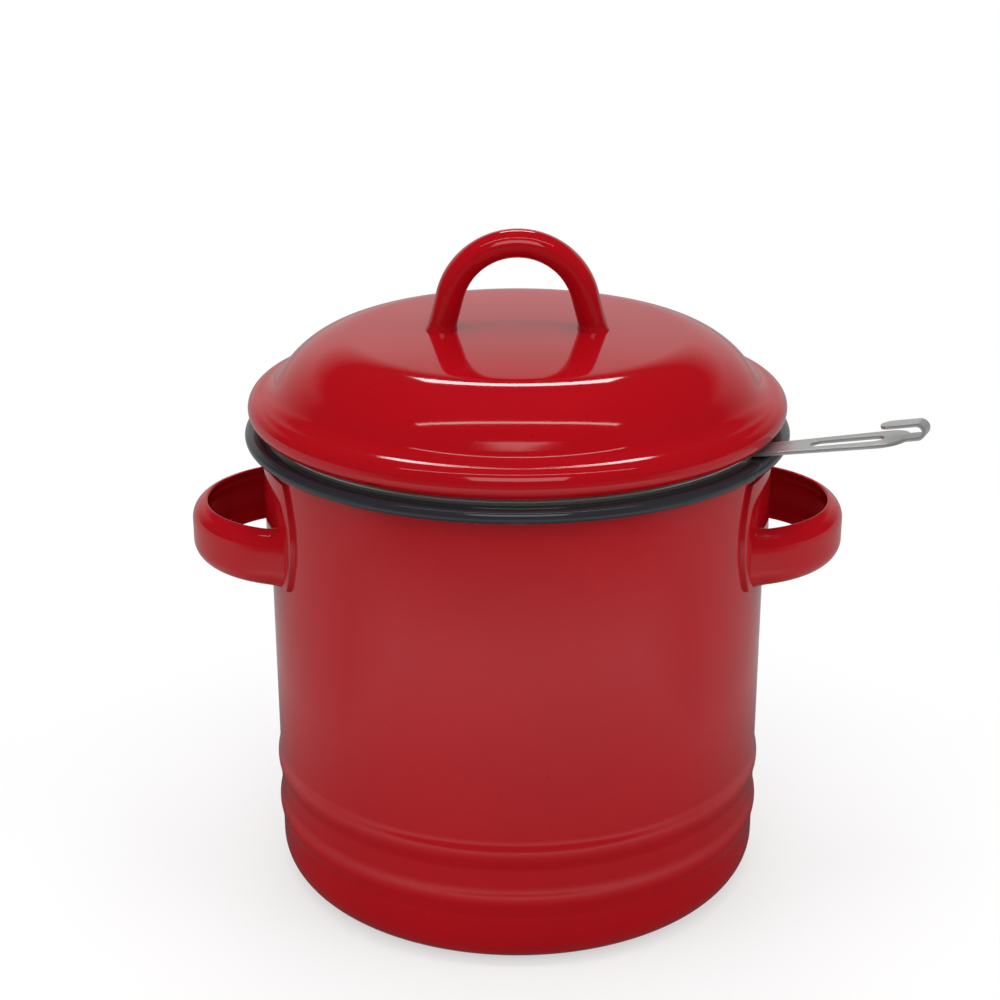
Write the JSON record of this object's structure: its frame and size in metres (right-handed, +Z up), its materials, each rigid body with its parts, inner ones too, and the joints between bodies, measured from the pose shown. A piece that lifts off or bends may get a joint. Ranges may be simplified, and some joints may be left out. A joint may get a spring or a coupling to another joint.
{
  "type": "grease keeper",
  "caption": "Round enamelled pot with loop handles and a rolled lip, a steel strainer that hangs in its mouth by its flange, and a domed lid with an arched handle.",
  "frame": {"origin": "centre of the pot's flat base, on the surface it stands on", "axes": "+Z up along the pot's axis; +X towards the right-hand loop handle, on the side where the strainer's strap sticks out; -Y towards the viewer"},
  "size_m": [0.1828, 0.14, 0.1737],
  "materials": {
    "pot_enamel": "glossy red enamel, black inside and on the lip",
    "handle_enamel": "glossy red enamel",
    "lid_enamel": "glossy red enamel, black underneath",
    "strainer_steel": "polished"
  },
  "bodies": {
    "pot": {"pot_body": "pot_enamel", "left_side_handle": "handle_enamel", "right_side_handle": "handle_enamel"},
    "strainer": {"strainer_cup": "strainer_steel", "strainer_screen": "strainer_steel", "strainer_handle": "strainer_steel"},
    "lid": {"lid_shell": "lid_enamel", "lid_skirt": "lid_enamel", "lid_handle": "handle_enamel"}
  },
  "joints": [
    {"name": "strainer_lift", "type": "slide", "parent": "pot", "child": "strainer", "axis": [0, 0, 1], "range_m": [0, 0.019]},
    {"name": "lid_lift", "type": "slide", "parent": "strainer", "child": "lid", "axis": [0, 0, 1], "range_m": [0, 0.02]}
  ]
}
